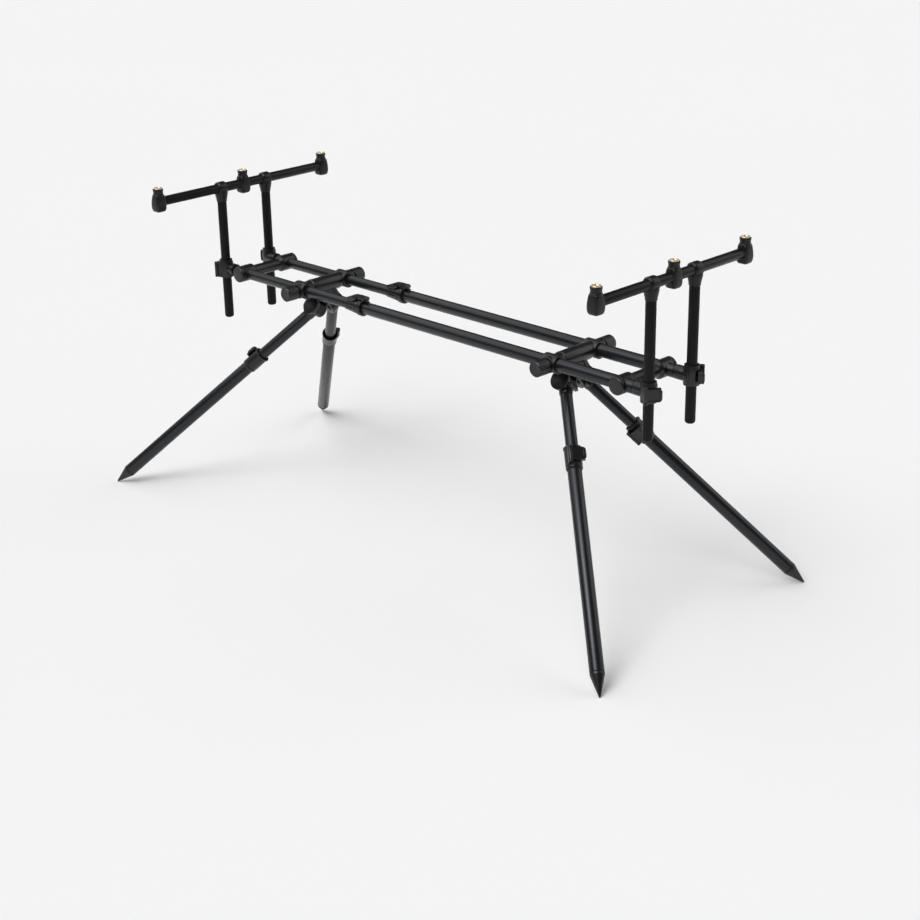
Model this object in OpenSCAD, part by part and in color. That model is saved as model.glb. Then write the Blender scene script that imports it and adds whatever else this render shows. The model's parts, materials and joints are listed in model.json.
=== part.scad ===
// Rod pod: a twin-rail frame on four folding telescopic legs, with a buzz bar on posts at each end.
// +X runs along the rails to the front, +Y is the right-hand side, +Z is up.
// The origin is on the ground, in the middle of the four feet.

/* [Frame] */
// Height of the rail axes above the ground
rail_z = 381; // [340:1:420]
// Distance between the two rail axes
rail_gap = 94; // [90:1:110]
// Distance between the front posts and the rear posts
post_span = 962.6; // [940:0.1:1080]
// Distance from an end bar to the axis of its posts
post_reach = 50; // [48:0.5:60]
// How far each post stands outside its rail axis
post_offset = 2.5; // [0:0.5:4]
// Distance from the front end bar back to the front leg block
front_block_back = 135.4; // [120:0.1:180]
// Distance from the rear end bar back to the rear leg block
rear_block_back = 155.7; // [130:0.1:180]
// Distance from the rear end bar to the mouth of the rail clamps
clamp_back = 271.3; // [259:0.1:339]

/* [Rails] */
// Outside diameter of the inner rails
inner_od = 18; // [16:0.5:19]
// Wall of the inner rails
inner_wall = 1.5; // [1:0.1:2]
// Wall of the outer rails
outer_wall = 1.2; // [1:0.1:2]
// Length of the inner rail that lies inside the outer rail
rail_overlap = 291; // [150:1:400]
// Length of rail that shows between an end bar and its post clamp
rail_pass = 10; // [6:0.5:12]

/* [Rail clamps] */
// Length of a rail clamp
clamp_len = 41; // [38:1:47]
// Length of the lip that guides the inner rail
clamp_lip = 10; // [8:1:14]
// Radius of the clamp at its mouth
clamp_mouth_r = 10.6; // [10.4:0.1:11.4]
// Radius of the flange at the other end
clamp_flange_r = 14.2; // [13.8:0.1:14.6]
// Height of the slot in each side of the clamp
clamp_slit = 2; // [1:0.5:3]
// Width of the rail lever
rail_lever_w = 14; // [12:0.5:15]
// Thickness of the rail lever over the flange
rail_lever_t = 3.6; // [3:0.2:5]
// Distance from the mouth of the clamp to the pin of the rail lever
rail_pin_x = 17; // [15:0.5:19]
// Height of the pin of the rail lever above the rail axis
rail_pin_z = 14.2; // [14:0.1:14.8]
// Radius of the pin of the rail lever
rail_pin_r = 1.3; // [1:0.1:1.4]

/* [End bars] */
// Length of an end bar
end_bar_len = 128; // [126:1:150]
// Radius of an end bar at its rail bosses and end discs
end_boss_r = 14; // [13.5:0.1:16]
// Radius of an end bar between the rails
end_mid_r = 10; // [7:0.5:12]
// Half width of the slim middle of an end bar
end_mid_half = 27; // [20:1:30]
// Thickness of the end discs
end_disc_t = 5; // [3:0.5:6]

/* [Leg blocks] */
// Distance from the middle of a leg block to its knob seats
block_half = 62; // [61:0.5:70]
// Radius of the barrel of a leg block
barrel_r = 13.8; // [13.5:0.1:15]
// Radius of the barrel outside its seam rings
barrel_end_r = 12.8; // [12:0.1:13.4]
// Half width of the barrel between its seam rings
barrel_mid_half = 30.5; // [28:0.5:32]
// Radius of the boss round each rail
rail_boss_r = 14.2; // [13.9:0.1:16]
// Length of the boss along the rail
rail_boss_len = 27; // [22:1:34]
// Radius of a locking knob
knob_r = 12.5; // [10:0.5:14]
// Length of a locking knob
knob_len = 24; // [18:1:28]
// Radius of the screw of a locking knob
knob_screw_r = 4; // [3:0.5:5]
// Number of grip flutes round a knob
knob_flutes = 20; // [12:2:24]

/* [Leg hinges] */
// Drop from the rail axes to the leg hinges
hinge_drop = 38; // [36:0.5:44]
// Distance of each leg hinge from the middle plane
hinge_y = 19.5; // [18:0.5:24]
// Sideways splay of the legs, measured from upright
splay_angle = 33.8; // [28:0.1:38]
// Forward lean of the front legs in their splayed plane
front_lean_angle = 33.3; // [25:0.1:40]
// Rearward lean of the rear legs in their splayed plane
rear_lean_angle = 37.2; // [25:0.1:40]
// Radius of the leg knuckle
knuckle_r = 12.5; // [11:0.5:13.5]
// Width of the leg knuckle along its pin
knuckle_w = 18; // [14:0.5:19]
// Radius of the outer hinge cheek
outer_cheek_r = 16; // [14:0.5:17]
// Thickness of the outer hinge cheek
outer_cheek_t = 6; // [5:0.5:8]
// Radius of the inner hinge cheek
inner_cheek_r = 13; // [11:0.5:14]
// Thickness of the inner hinge cheek
inner_cheek_t = 4; // [3:0.5:5]
// Radius of the leg hinge pin
hinge_pin_r = 3; // [2:0.25:4]

/* [Legs] */
// Outside diameter of the upper leg tubes
upper_od = 19; // [17:0.5:20]
// Wall of the upper leg tubes
upper_wall = 1.5; // [1:0.1:2]
// Wall of the lower leg tubes
lower_wall = 1.2; // [1:0.1:2]
// Distance from the hinge pin to the far end of the upper tube
upper_end = 300; // [240:1:310]
// Length of the lower leg from the mouth of its collar to the point of its spike
lower_len = 384; // [376:1:396]
// Length of the leg collar
collar_len = 36; // [34:1:44]
// Depth at which the lower tube seats in the collar
collar_seat = 12; // [9:0.5:14]
// Radius of the leg collar
collar_r = 13; // [12.6:0.1:14]
// Radius of the rim at the mouth of the collar
collar_rim_r = 14; // [13.6:0.1:15]
// Length of the cylinder of the spike
spike_shoulder = 4; // [3:1:14]
// Length of the cone of the spike
spike_cone = 33; // [24:1:40]
// Radius of the rounded point of the spike
tip_r = 1.5; // [1:0.1:3]

/* [Clasps] */
// Thickness of a clasp lever
lever_t = 5.5; // [5:0.5:6]
// Length of a clasp lever from its pin to its free end
lever_len = 23.5; // [20:0.5:26]
// Offset of the pin from the middle of the clasp
lever_back = 8; // [6:0.5:9]
// Height of the clasp levers on the legs
leg_lever_h = 20; // [16:1:20]
// Height of the clasp levers on the posts
post_lever_h = 20; // [16:1:22]
// Radius of the lever pins
lever_pin_r = 2; // [1.5:0.25:2]
// How far the post clasps are turned from the sides of the pod towards its ends
post_clasp_angle = 53; // [40:1:60]
// Thickness of the lugs that hold a lever
lug_t = 3; // [2.5:0.5:4]

/* [Posts and bars] */
// Outside diameter of the posts and the buzz bars
post_od = 16; // [14:0.5:17]
// Wall of the posts and the buzz bars
post_wall = 1.5; // [1:0.1:2.5]
// Distance from the foot of a post to the axis of its buzz bar
post_len = 235; // [200:1:280]
// Height of the front buzz bar above the rails
front_bar_rise = 160; // [130:1:175]
// Height of the rear buzz bar above the rails
rear_bar_rise = 145; // [130:1:175]
// Distance from the middle of the front buzz bar to its end heads
front_head_y = 168; // [130:1:220]
// Distance from the middle of the rear buzz bar to its end heads
rear_head_y = 183; // [130:1:220]
// Radius of the post clamp
post_clamp_r = 12.3; // [11.9:0.1:13.5]
// Height of the post clamp
post_clamp_h = 31; // [29:0.5:36]
// Radius of the sleeve that holds the bar on a post
sleeve_r = 11.2; // [10:0.1:12]
// Length of the sleeve along the bar
sleeve_len = 19; // [16:1:24]
// Depth of the sleeve's neck below the bar
sleeve_neck = 23.5; // [21:0.5:30]

/* [Rest heads] */
// Width of a rest head across its flats
head_w = 21; // [19:0.5:24]
// Corner radius of a rest head
head_corner = 5; // [3:0.5:7]
// Depth of a rest head below the bar axis
head_drop = 16.5; // [14:0.5:20]
// Height of the neck above the bar axis
head_top = 22.5; // [20:0.5:28]
// Radius of the neck
head_neck_r = 8.3; // [7.5:0.1:9.5]
// Radius of the brass insert
insert_r = 6; // [5.5:0.1:6.5]
// Radius of the insert's flange
insert_flange_r = 7; // [6.8:0.1:7.4]
// Thickness of the insert's flange
insert_flange_t = 2; // [1:0.25:3]
// Wall radius of the tapped hole, for a 3/8 inch fine thread
insert_bore_r = 4.2; // [3.5:0.1:4.6]

/* [Clearances] */
// Radial gap between sliding pieces
slide_gap = 0.3; // [0.2:0.05:0.4]
// Radial gap between pieces that are fixed together
fit_gap = 0.05; // [0.02:0.01:0.08]
// Radial gap round a hinge pin
pin_gap = 0.05; // [0.02:0.01:0.09]
// Gap at the sides of a knuckle
side_gap = 0.3; // [0.2:0.05:0.5]
// Gap between a clasp lever and the collar behind it
lever_gap = 0.6; // [0.4:0.1:1]

/* [Hidden] */
$fn = 64;
cut = 1;
FRONT = 1;
REAR = -1;
LEFT = -1;
RIGHT = 1;
ENDS = [FRONT, REAR];
SIDES = [LEFT, RIGHT];
LEG_PIECES = ["leg_head", "upper_tube", "leg_collar", "leg_lever", "lower_tube", "spike"];
END_PIECES = ["end_bar", "post_clamps", "lever_pins", "leg_block", "hinge_pins",
    "posts", "buzz_bar", "bar_sleeves", "rest_heads", "brass_inserts"];
NODES = concat(
    [for (s = SIDES) str("outer_rail_", side_name(s))],
    [for (s = SIDES) str("inner_rail_", side_name(s))],
    ["rail_clamps"],
    [for (s = SIDES) str("rail_lever_", side_name(s))],
    [for (e = ENDS, piece = END_PIECES) str(end_name(e), "_", piece)],
    [for (e = ENDS, s = SIDES) str(end_name(e), "_knob_", side_name(s))],
    [for (e = ENDS, s = SIDES) str(end_name(e), "_post_lever_", side_name(s))],
    [for (e = ENDS, s = SIDES, piece = LEG_PIECES) leg_node(e, s, piece)]
);
node = "all";

tube_black = [0.09, 0.09, 0.1];
moulded_black = [0.06, 0.06, 0.06];
pin_steel = [0.3, 0.3, 0.31];
insert_brass = [0.78, 0.62, 0.3];

function end_name(e) = e == FRONT ? "front" : "rear";
function side_name(s) = s == LEFT ? "left" : "right";
function leg_node(e, s, piece) = str(end_name(e), "_", side_name(s), "_", piece);
function wanted(name) = node == "all" || node == name;

rail_y = rail_gap / 2;
post_y = rail_y + post_offset;
inner_r = inner_od / 2;
outer_r = inner_r + slide_gap + outer_wall;
upper_r = upper_od / 2;
lower_r = upper_r + slide_gap + lower_wall;
post_r = post_od / 2;
hinge_z = rail_z - hinge_drop;
rail_end = end_boss_r + rail_pass;

// How each leg stands: lean, length from hinge to the ball of its point, and the reach of its foot
function lean(e) = e == FRONT ? front_lean_angle : rear_lean_angle;
function leg_len(e) = (hinge_z - tip_r) / (cos(splay_angle) * cos(lean(e)));
function mouth(e) = leg_len(e) + tip_r - lower_len;
function block_back(e) = e == FRONT ? front_block_back : rear_block_back;
function foot_from_middle(e) = post_span / 2 - post_reach - block_back(e) + leg_len(e) * sin(lean(e));
frame_x = (foot_from_middle(REAR) - foot_from_middle(FRONT)) / 2;

// Stations along the rails
function post_x(e) = frame_x + e * post_span / 2;
function bar_x(e) = frame_x + e * (post_span / 2 - post_reach);
function block_x(e) = bar_x(e) - e * block_back(e);
clamp_x = bar_x(REAR) + clamp_back;

// Radius of the rail that an end bar and a leg block sit on
function rail_r(e) = e == FRONT ? outer_r : inner_r;
function rail_bore_r(e) = e == FRONT ? outer_r - outer_wall : inner_r - inner_wall;

function bar_z(e) = rail_z + (e == FRONT ? front_bar_rise : rear_bar_rise);
function head_y(e) = e == FRONT ? front_head_y : rear_head_y;

// Turn of each clasp about its leg
function clasp_turn(e, s) = e == FRONT ? (s == LEFT ? 44 : 60) : (s == LEFT ? 205 : 263);

module along_x() rotate([0, 90, 0]) children();
module along_y() rotate([-90, 0, 0]) children();

module tube(r, wall, len) {
    difference() {
        cylinder(r = r, h = len);
        translate([0, 0, -cut]) cylinder(r = r - wall, h = len + 2 * cut);
    }
}

module bore(r, from, to) translate([0, 0, from]) cylinder(r = r, h = to - from);

// A flat plate with round corners, drawn in XY and centred
module round_plate(w, h, t, r) {
    linear_extrude(t) {
        square([w - 2 * r, h], center = true);
        square([w, h - 2 * r], center = true);
        for (x = [-1, 1], y = [-1, 1]) translate([x * (w / 2 - r), y * (h / 2 - r)]) circle(r);
    }
}

// Frames: at an end bar with +X outwards, at a post clasp, on a leg and at its clasp
module at_end(e) translate([bar_x(e), 0, rail_z]) rotate([0, 0, e == FRONT ? 0 : 180]) children();
module at_block(e) translate([block_x(e), 0, rail_z]) rotate([0, 0, e == FRONT ? 0 : 180]) children();
module at_post_clasp(e, s) {
    translate([post_x(e), s * post_y, rail_z]) rotate([0, 0, s * (90 - e * post_clasp_angle)])
        rotate([e == s ? 0 : 180, 0, 0]) children();
}
module at_leg(e, s) {
    translate([block_x(e), s * hinge_y, hinge_z]) rotate([s * splay_angle, 0, 0])
        rotate([0, -e * lean(e), 0]) rotate([180, 0, 0]) children();
}
module at_clasp(e, s) {
    at_leg(e, s) translate([0, 0, mouth(e) + clasp_z]) rotate([0, 0, clasp_turn(e, s)]) children();
}
clasp_z = 16;

// Rails

module outer_rail(s) {
    start = clamp_x + clamp_lip;
    color(tube_black) translate([start, s * rail_y, rail_z]) along_x()
        tube(outer_r, outer_wall, bar_x(FRONT) + rail_end - start);
}

module inner_rail(s) {
    start = bar_x(REAR) - rail_end;
    color(tube_black) translate([start, s * rail_y, rail_z]) along_x()
        tube(inner_r, inner_wall, clamp_x + rail_overlap - start);
}

// Rail clamps, with a lever that lies along the rail

rail_knuckle_r = rail_pin_r + 1.3;
rail_lug_t = 2.5;
rail_lug_y = rail_lever_w / 2 + side_gap;
clamp_waist_r = clamp_flange_r - 1.4;
clamp_flange_len = 10;
clamp_groove = 1.5;
clamp_edge = 1;

module rail_clamp_body() {
    flange_x = clamp_len - clamp_flange_len;
    along_x() difference() {
        rotate_extrude() polygon([[0, 0], [clamp_mouth_r - 0.4, 0], [clamp_mouth_r, 0.6], [clamp_mouth_r, 4],
            [clamp_waist_r, flange_x - 2 * clamp_groove],
            [clamp_waist_r - clamp_edge, flange_x - clamp_groove],
            [clamp_waist_r - clamp_edge, flange_x], [clamp_flange_r - clamp_edge, flange_x],
            [clamp_flange_r, flange_x + clamp_edge], [clamp_flange_r, clamp_len - clamp_edge],
            [clamp_flange_r - clamp_edge, clamp_len], [0, clamp_len]]);
        bore(inner_r + slide_gap, -cut, clamp_lip + cut);
        bore(outer_r + fit_gap, clamp_lip, clamp_len + cut);
    }
}

// A rounded hump on top of the clamp that splits into two cheeks for the lever
module rail_lever_lugs() {
    lug_w = 2 * (rail_lug_y + rail_lug_t);
    ramp = 13;
    foot = clamp_mouth_r - 1;
    crest = rail_pin_z + rail_knuckle_r;
    cheek_x = clamp_len - clamp_flange_len - 2;
    rise = [for (a = [0:10:90]) [rail_pin_x - ramp * cos(a), foot + (crest - foot) * sin(a)]];
    rotate([90, 0, 0]) translate([0, 0, -lug_w / 2]) linear_extrude(lug_w)
        polygon(concat([[rail_pin_x - ramp, inner_r]], rise,
            [[cheek_x - 1, crest], [cheek_x, crest - 1], [cheek_x, crest - 3],
            [rail_pin_x + rail_knuckle_r, inner_r]]));
}

module rail_clamps() {
    slit_x = 9;
    slit_len = 15;
    slit_z = -2;
    lug_reach = rail_lug_y + rail_lug_t + cut;
    pocket_x = rail_pin_x - rail_knuckle_r - side_gap;
    pocket_z = rail_pin_z - rail_knuckle_r - side_gap;
    color(moulded_black) for (s = SIDES) translate([clamp_x, s * rail_y, rail_z]) difference() {
        union() {
            rail_clamp_body();
            rail_lever_lugs();
        }
        translate([pocket_x, -rail_lug_y, pocket_z])
            cube([clamp_len - clamp_flange_len - pocket_x, 2 * rail_lug_y, clamp_flange_r]);
        translate([rail_pin_x, 0, rail_pin_z]) along_y() bore(rail_pin_r + fit_gap, -lug_reach, lug_reach);
        along_x() bore(inner_r + slide_gap, 0, clamp_lip + cut);
        along_x() bore(outer_r + fit_gap, clamp_lip, clamp_len);
        translate([slit_x, -clamp_flange_r - cut, slit_z])
            cube([slit_len, 2 * (clamp_flange_r + cut), clamp_slit]);
    }
}

// A low wedge from the pin to the flange, with a thick finger end that hooks down behind the flange
module rail_lever(s) {
    low = clamp_flange_r + lever_gap;
    high = low + rail_lever_t;
    neck_x = clamp_len - clamp_flange_len - 2;
    hook_x = clamp_len + lever_gap;
    hook_z = outer_r + 2;
    tip_x = hook_x + 4;
    rise_x = rail_pin_x + 6;
    round_off = 1.5;
    color(moulded_black) translate([clamp_x, s * rail_y, rail_z]) difference() {
        rotate([90, 0, 0]) translate([0, 0, -rail_lever_w / 2]) linear_extrude(rail_lever_w) {
            translate([rail_pin_x, rail_pin_z]) circle(rail_knuckle_r);
            polygon([[rail_pin_x, rail_pin_z - rail_knuckle_r + 0.2],
                [neck_x, clamp_waist_r + lever_gap], [neck_x, low],
                [hook_x, low], [hook_x, hook_z], [tip_x - round_off, hook_z], [tip_x, hook_z + round_off],
                [tip_x, high - round_off], [tip_x - round_off, high], [rise_x, high],
                [rail_pin_x, rail_pin_z + rail_knuckle_r]]);
        }
        translate([rail_pin_x, 0, rail_pin_z]) along_y()
            bore(rail_pin_r + pin_gap, -rail_lever_w, rail_lever_w);
    }
}

module rail_lever_pins() {
    half = rail_lug_y + rail_lug_t;
    for (s = SIDES) translate([clamp_x + rail_pin_x, s * rail_y, rail_z + rail_pin_z]) along_y()
        translate([0, 0, -half]) cylinder(r = rail_pin_r, h = 2 * half);
}

// Clasps: a ring on the Z axis, a flat lever facing +X with its free end at -Y, and a pin along Z at +Y

lever_corner = 5;
lever_knuckle_r = lever_pin_r + 1.3;
lever_heel = 2;
function lever_x(ring_r) = ring_r + lever_gap + lever_t / 2;

module at_lever_pin(ring_r) translate([lever_x(ring_r), lever_back, 0]) children();

module clasp_lever(ring_r, h) {
    plate_w = lever_len + lever_heel;
    translate([ring_r + lever_gap, lever_back + lever_heel - plate_w / 2, 0])
        rotate([90, 0, 90]) round_plate(plate_w, h, lever_t, lever_corner);
    at_lever_pin(ring_r) bore(lever_knuckle_r, -h / 2, h / 2);
}

// Two lugs that reach from the ring to the pin, above and below the lever
module clasp_lugs(ring_r, h, bore_r) {
    difference() {
        for (z = [h / 2 + side_gap, -h / 2 - side_gap - lug_t]) translate([0, 0, z]) {
            translate([0, lever_back - lever_knuckle_r, 0])
                cube([lever_x(ring_r), 2 * lever_knuckle_r, lug_t]);
            at_lever_pin(ring_r) cylinder(r = lever_knuckle_r, h = lug_t);
        }
        at_lever_pin(ring_r) bore(bore_r, -h, h);
    }
}

// End bars and post clamps

module end_bar(e) {
    half = end_bar_len / 2;
    groove = 2;
    profile = [[end_mid_r, end_mid_half], [end_boss_r, end_mid_half + 5],
        [end_boss_r, half - end_disc_t - groove],
        [end_boss_r - 1.5, half - end_disc_t - groove], [end_boss_r - 1.5, half - end_disc_t],
        [end_boss_r, half - end_disc_t], [end_boss_r, half - 1], [end_boss_r - 1, half],
        [0, half], [0, 0], [end_mid_r, 0]];
    color(moulded_black) at_end(e) difference() {
        for (flip = [0, 1]) mirror([0, flip, 0]) along_y() rotate_extrude() polygon(profile);
        for (s = SIDES) translate([0, s * rail_y, 0]) along_x()
            bore(rail_r(e) + fit_gap, -rail_end, rail_end);
    }
}

post_neck_r = 10.8;
post_lip_h = 4;

module post_clamp(e, s) {
    spigot_len = 17;
    groove = 1;
    neck_from = post_reach - rail_end - groove;
    low = 1 - post_clamp_h / 2;
    difference() {
        union() {
            at_post_clasp(e, s) clasp_lugs(post_clamp_r, post_lever_h, lever_pin_r + fit_gap);
            translate([post_x(e), s * post_y, rail_z]) {
                bore(post_clamp_r, low, low + post_clamp_h - post_lip_h);
                bore(post_clamp_r - 1, low, low + post_clamp_h);
            }
            translate([post_x(e), s * rail_y, rail_z]) rotate([0, 0, e == FRONT ? 180 : 0]) along_x() {
                cylinder(r = post_neck_r, h = neck_from);
                cylinder(r = rail_bore_r(e) - fit_gap, h = neck_from + groove + spigot_len);
            }
        }
        translate([post_x(e), s * post_y, rail_z]) bore(post_r + slide_gap, -post_clamp_h, post_clamp_h);
    }
}

module post_clamps(e) color(moulded_black) for (s = SIDES) post_clamp(e, s);

module post_lever(e, s) {
    color(moulded_black) at_post_clasp(e, s) difference() {
        clasp_lever(post_clamp_r, post_lever_h);
        at_lever_pin(post_clamp_r) bore(lever_pin_r + pin_gap, -post_lever_h, post_lever_h);
    }
}

module post_lever_pins(e) {
    half = post_lever_h / 2 + side_gap + lug_t;
    for (s = SIDES) at_post_clasp(e, s) at_lever_pin(post_clamp_r) translate([0, 0, -half])
        cylinder(r = lever_pin_r, h = 2 * half);
}

module lever_pins(e) {
    color(pin_steel) {
        post_lever_pins(e);
        if (e == FRONT) rail_lever_pins();
    }
}

// Leg blocks: a barrel across both rails, with a pair of tilted hinge forks below

cheek_in = knuckle_w / 2 + side_gap;
stub_r = upper_r + 0.8;
stop_gap = 0.3;

module at_left_fork() translate([0, -hinge_y, -hinge_drop]) rotate([-splay_angle, 0, 0]) children();

// The left fork, with the hinge pin along Y, the middle plane at +Y and the legs leaning to +X
module hinge_fork(e) {
    web_low = knuckle_r + side_gap;
    web_top = hinge_drop - 4;
    web_half = knuckle_r - 3.5;
    outer = cheek_in + outer_cheek_t;
    inner = cheek_in + inner_cheek_t;
    outer_half = outer_cheek_r - 5;
    inner_half = inner_cheek_r - 2;
    stop_t = 5;
    stop_low = knuckle_r + 3.5;
    stop_len = 8;
    along_y() bore(outer_cheek_r, -outer, -cheek_in);
    along_y() bore(inner_cheek_r, cheek_in, inner);
    translate([-outer_half, -outer, 0]) cube([2 * outer_half, outer_cheek_t, web_top]);
    translate([-inner_half, cheek_in, 0]) cube([2 * inner_half, inner_cheek_t, web_top]);
    translate([-web_half, -outer, web_low]) cube([2 * web_half, outer + inner, web_top - web_low]);
    rotate([0, -lean(e), 0]) translate([stub_r + stop_gap, -cheek_in - cut, -stop_low])
        cube([stop_t, 2 * (cheek_in + cut), stop_len]);
}

module leg_block(e) {
    step = barrel_r - barrel_end_r;
    profile = [[0, 0], [barrel_r, 0], [barrel_r, barrel_mid_half - step], [barrel_end_r, barrel_mid_half],
        [barrel_end_r, block_half - 3], [barrel_end_r - 0.8, block_half - 2],
        [barrel_end_r - 0.8, block_half], [0, block_half]];
    color(moulded_black) at_block(e) difference() {
        union() {
            for (flip = [0, 1]) mirror([0, flip, 0]) {
                along_y() rotate_extrude() polygon(profile);
                translate([-rail_boss_len / 2, rail_y, 0]) along_x()
                    cylinder(r = rail_boss_r, h = rail_boss_len);
                at_left_fork() hinge_fork(e);
            }
        }
        for (s = SIDES) translate([0, s * rail_y, 0]) {
            along_x() bore(rail_r(e) + slide_gap, -rail_boss_len, rail_boss_len);
            rotate([0, 0, s * 90]) along_x() bore(knob_screw_r + pin_gap, 0, block_half);
        }
        for (flip = [0, 1]) mirror([0, flip, 0]) at_left_fork() along_y()
            bore(hinge_pin_r + fit_gap, -cheek_in - outer_cheek_t / 2, cheek_in + inner_cheek_t + cut);
    }
}

module hinge_pins(e) {
    pin_head_t = 2;
    color(pin_steel) at_block(e) for (flip = [0, 1]) mirror([0, flip, 0]) at_left_fork() along_y() {
        bore(hinge_pin_r, -cheek_in - outer_cheek_t / 2, cheek_in + inner_cheek_t + cut);
        bore(hinge_pin_r + 2, cheek_in + inner_cheek_t, cheek_in + inner_cheek_t + pin_head_t);
    }
}

module knob(e, s) {
    flute_r = 0.9;
    seat_gap = 1;
    face = block_half + seat_gap;
    color(moulded_black) translate([block_x(e), 0, rail_z]) rotate([0, 0, s * 90]) along_x() difference() {
        rotate_extrude() polygon([[0, rail_y + rail_r(e) + slide_gap],
            [knob_screw_r, rail_y + rail_r(e) + slide_gap],
            [knob_screw_r, face], [knob_r - 1, face], [knob_r, face + 1], [knob_r, face + knob_len - 1.5],
            [knob_r - 1.5, face + knob_len], [0, face + knob_len]]);
        for (i = [0 : knob_flutes - 1]) rotate([0, 0, i * 360 / knob_flutes])
            translate([knob_r + flute_r / 3, 0, 0])
            bore(flute_r, face + 4, face + knob_len + cut);
    }
}

// Legs: a knuckle and tube that fold, and a clasped lower tube that slides over them

shoulder_z = 20;

module leg_head(e, s) {
    rib = 1.6;
    rib_depth = 0.7;
    plug_len = 25;
    color(moulded_black) at_leg(e, s) difference() {
        union() {
            along_y() bore(knuckle_r, -knuckle_w / 2, knuckle_w / 2);
            bore(stub_r, 0, shoulder_z);
            bore(upper_r - upper_wall - fit_gap, 0, shoulder_z + plug_len);
        }
        along_y() bore(hinge_pin_r + pin_gap, -knuckle_w, knuckle_w);
        for (y = [-knuckle_w, knuckle_w / 2]) along_y()
            bore(outer_cheek_r + side_gap, y, y + knuckle_w / 2);
        for (y = [-2 : 2]) translate([0, y * 2 * rib - rib / 2, 0]) along_y() difference() {
            bore(knuckle_r + cut, 0, rib);
            bore(knuckle_r - rib_depth, -cut, rib + cut);
            translate([-stub_r - cut, -shoulder_z - knuckle_r, -cut])
                cube([2 * (stub_r + cut), shoulder_z + knuckle_r, rib + 2 * cut]);
        }
    }
}

module upper_tube(e, s) {
    color(tube_black) at_leg(e, s) translate([0, 0, shoulder_z])
        tube(upper_r, upper_wall, upper_end - shoulder_z);
}

module leg_collar(e, s) {
    funnel = 6;
    profile = [[0, 0], [collar_rim_r, 0], [collar_rim_r, 2.5], [collar_r, 3.5], [collar_r, collar_len - 7],
        [collar_r - 1, collar_len - 6.5], [collar_r - 1, collar_len - 5], [collar_r, collar_len - 4.5],
        [collar_r, collar_len - 3], [lower_r + 1, collar_len], [0, collar_len]];
    color(moulded_black) at_clasp(e, s) difference() {
        union() {
            translate([0, 0, -clasp_z]) rotate_extrude() polygon(profile);
            clasp_lugs(collar_r, leg_lever_h, lever_pin_r + pin_gap);
        }
        translate([0, 0, -clasp_z]) {
            translate([0, 0, -cut]) cylinder(r1 = collar_r, r2 = upper_r + slide_gap, h = funnel + cut);
            bore(upper_r + slide_gap, 0, collar_len);
            bore(lower_r + fit_gap, collar_seat, collar_len + cut);
        }
    }
}

// The lever of a leg turns on two pegs of its own
module leg_lever(e, s) {
    peg = leg_lever_h / 2 + side_gap + lug_t;
    color(moulded_black) at_clasp(e, s) {
        clasp_lever(collar_r, leg_lever_h);
        at_lever_pin(collar_r) bore(lever_pin_r, -peg, peg);
    }
}

module lower_tube(e, s) {
    start = mouth(e) + collar_seat;
    stop = leg_len(e) + tip_r - spike_cone - spike_shoulder;
    color(tube_black) at_leg(e, s) translate([0, 0, start]) tube(lower_r, lower_wall, stop - start);
}

module spike(e, s) {
    plug_len = 18;
    cone_base = leg_len(e) + tip_r - spike_cone;
    plug_r = lower_r - lower_wall - fit_gap;
    color(moulded_black) at_leg(e, s) {
        bore(plug_r, cone_base - spike_shoulder - plug_len, cone_base);
        bore(lower_r, cone_base - spike_shoulder, cone_base);
        translate([0, 0, cone_base]) cylinder(r1 = lower_r, r2 = tip_r, h = spike_cone - tip_r);
        translate([0, 0, leg_len(e)]) sphere(tip_r);
    }
}

// Posts, buzz bars and their rest heads

module posts(e) {
    foot_round = 4;
    foot = bar_z(e) - post_len;
    top = bar_z(e) - post_r - 2;
    color(tube_black) for (s = SIDES) translate([post_x(e), s * post_y, foot]) difference() {
        rotate_extrude() {
            translate([0, foot_round]) square([post_r, top - foot - foot_round]);
            square([post_r - foot_round, foot_round + cut]);
            translate([post_r - foot_round, foot_round]) intersection() {
                circle(foot_round);
                translate([0, -foot_round]) square([foot_round, foot_round + cut]);
            }
        }
        bore(post_r - post_wall, foot_round + 2, top);
    }
}

module buzz_bar(e) {
    half = head_y(e) + head_w / 2 - 4;
    color(tube_black) translate([post_x(e), -half, bar_z(e)]) along_y() tube(post_r, post_wall, 2 * half);
}

module bar_sleeves(e) {
    lip_r = post_r + 1;
    color(moulded_black) for (s = SIDES) translate([post_x(e), s * post_y, bar_z(e)]) difference() {
        union() {
            along_y() bore(sleeve_r, -sleeve_len / 2, sleeve_len / 2);
            rotate_extrude() polygon([[0, -sleeve_neck], [lip_r, -sleeve_neck],
                [lip_r + 0.3, 4 - sleeve_neck],
                [sleeve_r + 0.4, -post_r - 1], [sleeve_r, -post_r / 2], [sleeve_len / 2, 0], [0, 0]]);
        }
        along_y() bore(post_r + fit_gap, -sleeve_len, sleeve_len);
        bore(post_r + fit_gap, -sleeve_neck - cut, -post_r - 2);
    }
}

insert_low = post_r + 1.5;

// The bottle shape of a head: square sides, a round bottom and a drawn-in neck
module head_body() {
    side = head_w / 2 + 2.3;
    bottom = 7;
    shoulder_z = 12.5;
    intersection() {
        translate([0, 0, -head_drop]) round_plate(head_w, head_w, head_drop + head_top, head_corner);
        rotate_extrude() {
            polygon([[0, -head_drop], [side - bottom, -head_drop],
                [side - 1.2, -head_drop + bottom], [side, -3],
                [side - 0.8, 5], [head_neck_r + 2.3, shoulder_z - 2.5], [head_neck_r, shoulder_z],
                [head_neck_r, head_top], [0, head_top]]);
            intersection() {
                translate([side - bottom - 1.2, -head_drop + bottom]) circle(bottom);
                translate([0, -head_drop]) square([side, bottom + cut]);
            }
        }
    }
}

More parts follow.
